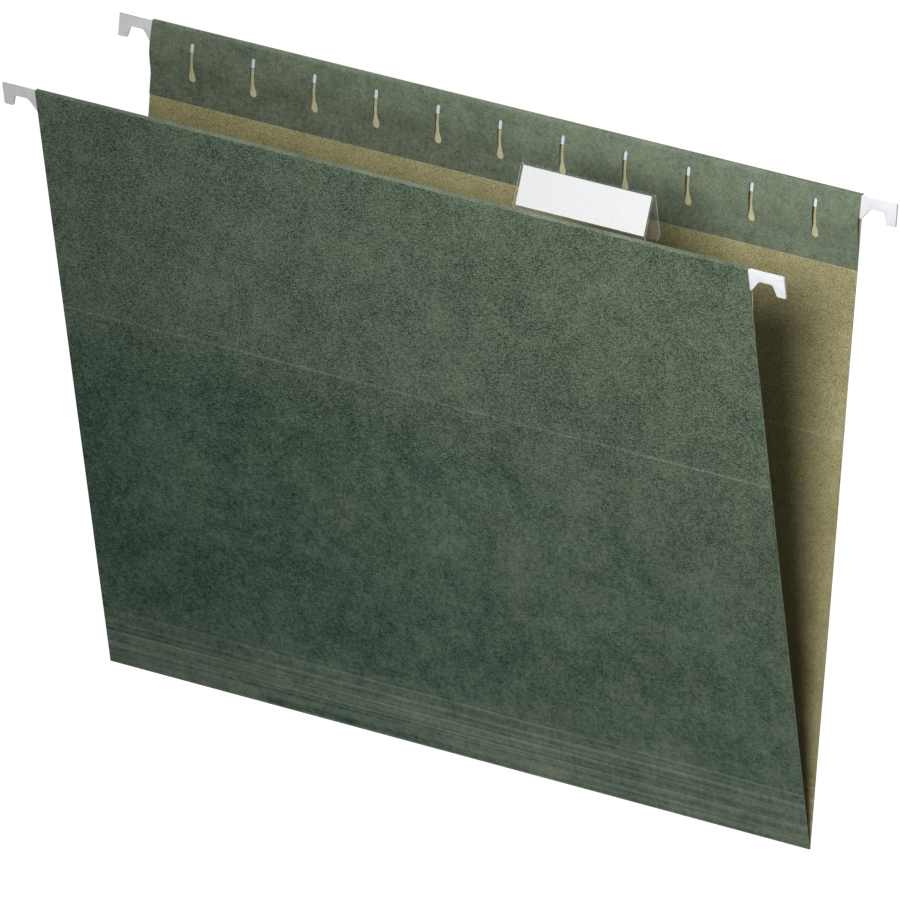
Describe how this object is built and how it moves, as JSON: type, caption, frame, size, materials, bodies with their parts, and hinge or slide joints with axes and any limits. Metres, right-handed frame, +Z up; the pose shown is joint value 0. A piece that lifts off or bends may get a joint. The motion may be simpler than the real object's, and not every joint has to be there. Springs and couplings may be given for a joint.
{
  "type": "hanging file folder",
  "caption": "Letter-size hanging file folder: creased two-tone board pocket on flat steel rods with hooked coated ends, slotted hems, and a clear index tab with a blank label.",
  "frame": {"origin": "midway between the four hook notches, at the height where the rails carry the hooks' arms", "axes": "+X along the rods, to the right seen from the tab's side; +Y to the rear, along the rails; +Z up"},
  "size_m": [0.3274, 0.076, 0.2532],
  "materials": {
    "green_board": "matte",
    "glue": "matte",
    "rod_steel": "satin",
    "hook_coat": "satin",
    "clear_tab": "clear gloss",
    "label_paper": "matte"
  },
  "bodies": {
    "rear_rod": {"rear_rod": "rod_steel", "rear_left_hook_coat": "hook_coat", "rear_right_hook_coat": "hook_coat"},
    "rear_top": {"rear_upper_panel": "green_board", "rear_hem": "green_board", "rear_glue_line": "glue"},
    "rear_bottom": {"rear_lower_panel": "green_board"},
    "front_bottom": {"front_lower_panel": "green_board"},
    "front_top": {"front_upper_panel": "green_board", "front_hem": "green_board", "front_glue_line": "glue"},
    "front_rod": {"front_rod": "rod_steel", "front_left_hook_coat": "hook_coat", "front_right_hook_coat": "hook_coat"},
    "tab": {"tab_holder": "clear_tab"},
    "label": {"tab_label": "label_paper"}
  },
  "joints": [
    {"name": "rear_rod_slide", "type": "slide", "parent": "rear_rod", "child": "rear_top", "axis": [1, 0, 0], "range_m": [-0.002, 0.002]},
    {"name": "rear_mid_fold", "type": "hinge", "parent": "rear_top", "child": "rear_bottom", "pos_m": [0, 0.02395, -0.08451], "axis": [1, 0, 0], "range_deg": [0, 120]},
    {"name": "bottom_fold", "type": "hinge", "parent": "rear_bottom", "child": "front_bottom", "pos_m": [0, 0, -0.23391], "axis": [1, 0, 0], "range_deg": [-14, 161]},
    {"name": "front_mid_fold", "type": "hinge", "parent": "front_bottom", "child": "front_top", "pos_m": [0, -0.02395, -0.08451], "axis": [1, 0, 0], "range_deg": [0, 120]},
    {"name": "front_rod_slide", "type": "slide", "parent": "front_top", "child": "front_rod", "axis": [1, 0, 0], "range_m": [-0.002, 0.002]},
    {"name": "tab_slide", "type": "slide", "parent": "front_top", "child": "tab", "axis": [0, -0.1564, 0.9877], "range_m": [-0.006, 0]},
    {"name": "label_slide", "type": "slide", "parent": "tab", "child": "label", "axis": [1, 0, 0], "range_m": [-0.055, 0.055]}
  ]
}
